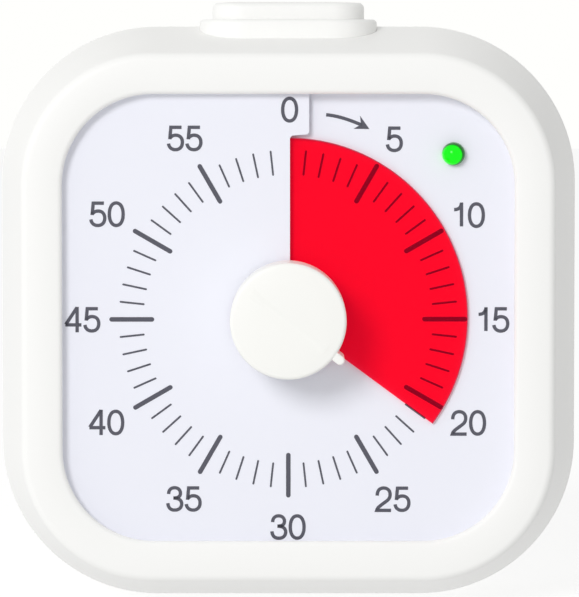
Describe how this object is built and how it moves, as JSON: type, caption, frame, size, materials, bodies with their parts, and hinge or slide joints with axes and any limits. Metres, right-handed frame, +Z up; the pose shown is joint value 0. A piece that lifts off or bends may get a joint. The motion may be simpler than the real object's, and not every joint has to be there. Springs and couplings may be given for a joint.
{
  "type": "visual countdown timer",
  "caption": "Rounded square countdown timer: a knob draws a red disc out of a slit in the dial to show the minutes left; button on top, battery behind a back door.",
  "frame": {"origin": "middle of the footprint on the surface that the case stands on, with the knob counted in the depth", "axes": "+X to the right and +Z up as seen from the front; the dial faces -Y"},
  "size_m": [0.09, 0.0486, 0.0931],
  "materials": {
    "shell": "moulded off-white ABS, satin",
    "door": "moulded off-white ABS, satin",
    "button": "moulded off-white ABS, fine satin",
    "knob": "moulded off-white ABS, semi-gloss",
    "card": "printed pale lavender polystyrene sheet, satin",
    "film": "translucent red PET film",
    "hub": "moulded acetal",
    "tray": "moulded ABS",
    "shaft": "turned steel",
    "spring_steel": "spring steel, nickel plated",
    "bronze": "phosphor bronze",
    "movement": "moulded acetal",
    "cover": "moulded ABS, matt",
    "wheel": "moulded natural acetal",
    "magnet": "bonded ferrite magnet, matt",
    "iron": "soft iron sheet",
    "copper": "enamelled copper winding",
    "board": "solder-masked glass-epoxy board",
    "can": "nickel-plated can",
    "black": "moulded black nylon",
    "lamp": "clear green epoxy, lit",
    "cell": "shrink sleeve over steel can, unmarked",
    "slider": "moulded black nylon",
    "screw": "zinc-plated steel"
  },
  "bodies": {
    "case": {"front_bezel": "shell", "rear_case": "shell", "dial_card": "card", "dial_tray": "tray", "movement_base": "movement", "movement_cover": "cover", "stator": "iron", "coil": "copper", "circuit_board": "board", "crystal": "can", "sounder": "black", "led": "lamp", "battery_cell": "cell", "contact_spring": "spring_steel", "contact_plate": "spring_steel", "volume_switch": "can", "button_collar": "button", "button_spring": "spring_steel", "tact_switch": "black", "case_screws": "screw", "tray_screws": "screw", "movement_screws": "screw", "board_screws": "screw"},
    "dial_drive": {"knob": "knob", "knob_shaft": "shaft", "clutch_spring": "bronze", "shaft_clip": "spring_steel"},
    "film": {"red_film": "film", "film_hub": "hub"},
    "centre_wheel": {"centre_wheel": "wheel"},
    "third_wheel": {"third_wheel": "wheel"},
    "second_wheel": {"second_wheel": "wheel"},
    "rotor": {"rotor": "magnet"},
    "button": {"top_button": "button", "switch_plunger": "slider"},
    "volume_slider": {"volume_slider": "slider"},
    "battery_door": {"battery_door": "door"}
  },
  "joints": [
    {"name": "knob_turn", "type": "hinge", "parent": "case", "child": "dial_drive", "pos_m": [0, -0.00375, 0.04465], "axis": [0, 1, 0], "range_deg": [-126, 234]},
    {"name": "film_lift", "type": "slide", "parent": "dial_drive", "child": "film", "axis": [0, -1, 0], "range_m": [-0.00042, 0.00078]},
    {"name": "rotor_turn", "type": "hinge", "parent": "case", "child": "rotor", "pos_m": [-0.00855, -0.00375, 0.05383], "axis": [0, 1, 0], "continuous": true},
    {"name": "second_wheel_turn", "type": "hinge", "parent": "case", "child": "second_wheel", "pos_m": [-0.01037, -0.00375, 0.04707], "axis": [0, 1, 0], "continuous": true},
    {"name": "third_wheel_turn", "type": "hinge", "parent": "case", "child": "third_wheel", "pos_m": [-0.00885, -0.00375, 0.03846], "axis": [0, 1, 0], "continuous": true},
    {"name": "centre_wheel_turn", "type": "hinge", "parent": "case", "child": "centre_wheel", "pos_m": [0, -0.00375, 0.04465], "axis": [0, 1, 0], "continuous": true},
    {"name": "button_press", "type": "slide", "parent": "case", "child": "button", "axis": [0, 0, -1], "range_m": [0, 0.0012], "stiffness_N_per_m": 400, "springref_m": -0.0006, "deforming": ["button_spring"]},
    {"name": "volume_slide", "type": "slide", "parent": "case", "child": "volume_slider", "axis": [1, 0, 0], "range_m": [-0.002, 0.002]},
    {"name": "door_swing", "type": "hinge", "parent": "case", "child": "battery_door", "pos_m": [0, 0.02425, 0.0188], "axis": [-1, 0, 0], "range_deg": [0, 100]}
  ],
  "couplings": [
    {"joint": "film_lift", "follows": "knob_turn", "m_per_rad": 0.00019099},
    {"joint": "second_wheel_turn", "follows": "rotor_turn", "ratio": -0.16667},
    {"joint": "third_wheel_turn", "follows": "rotor_turn", "ratio": 0.027778},
    {"joint": "centre_wheel_turn", "follows": "rotor_turn", "ratio": -0.0055556}
  ]
}
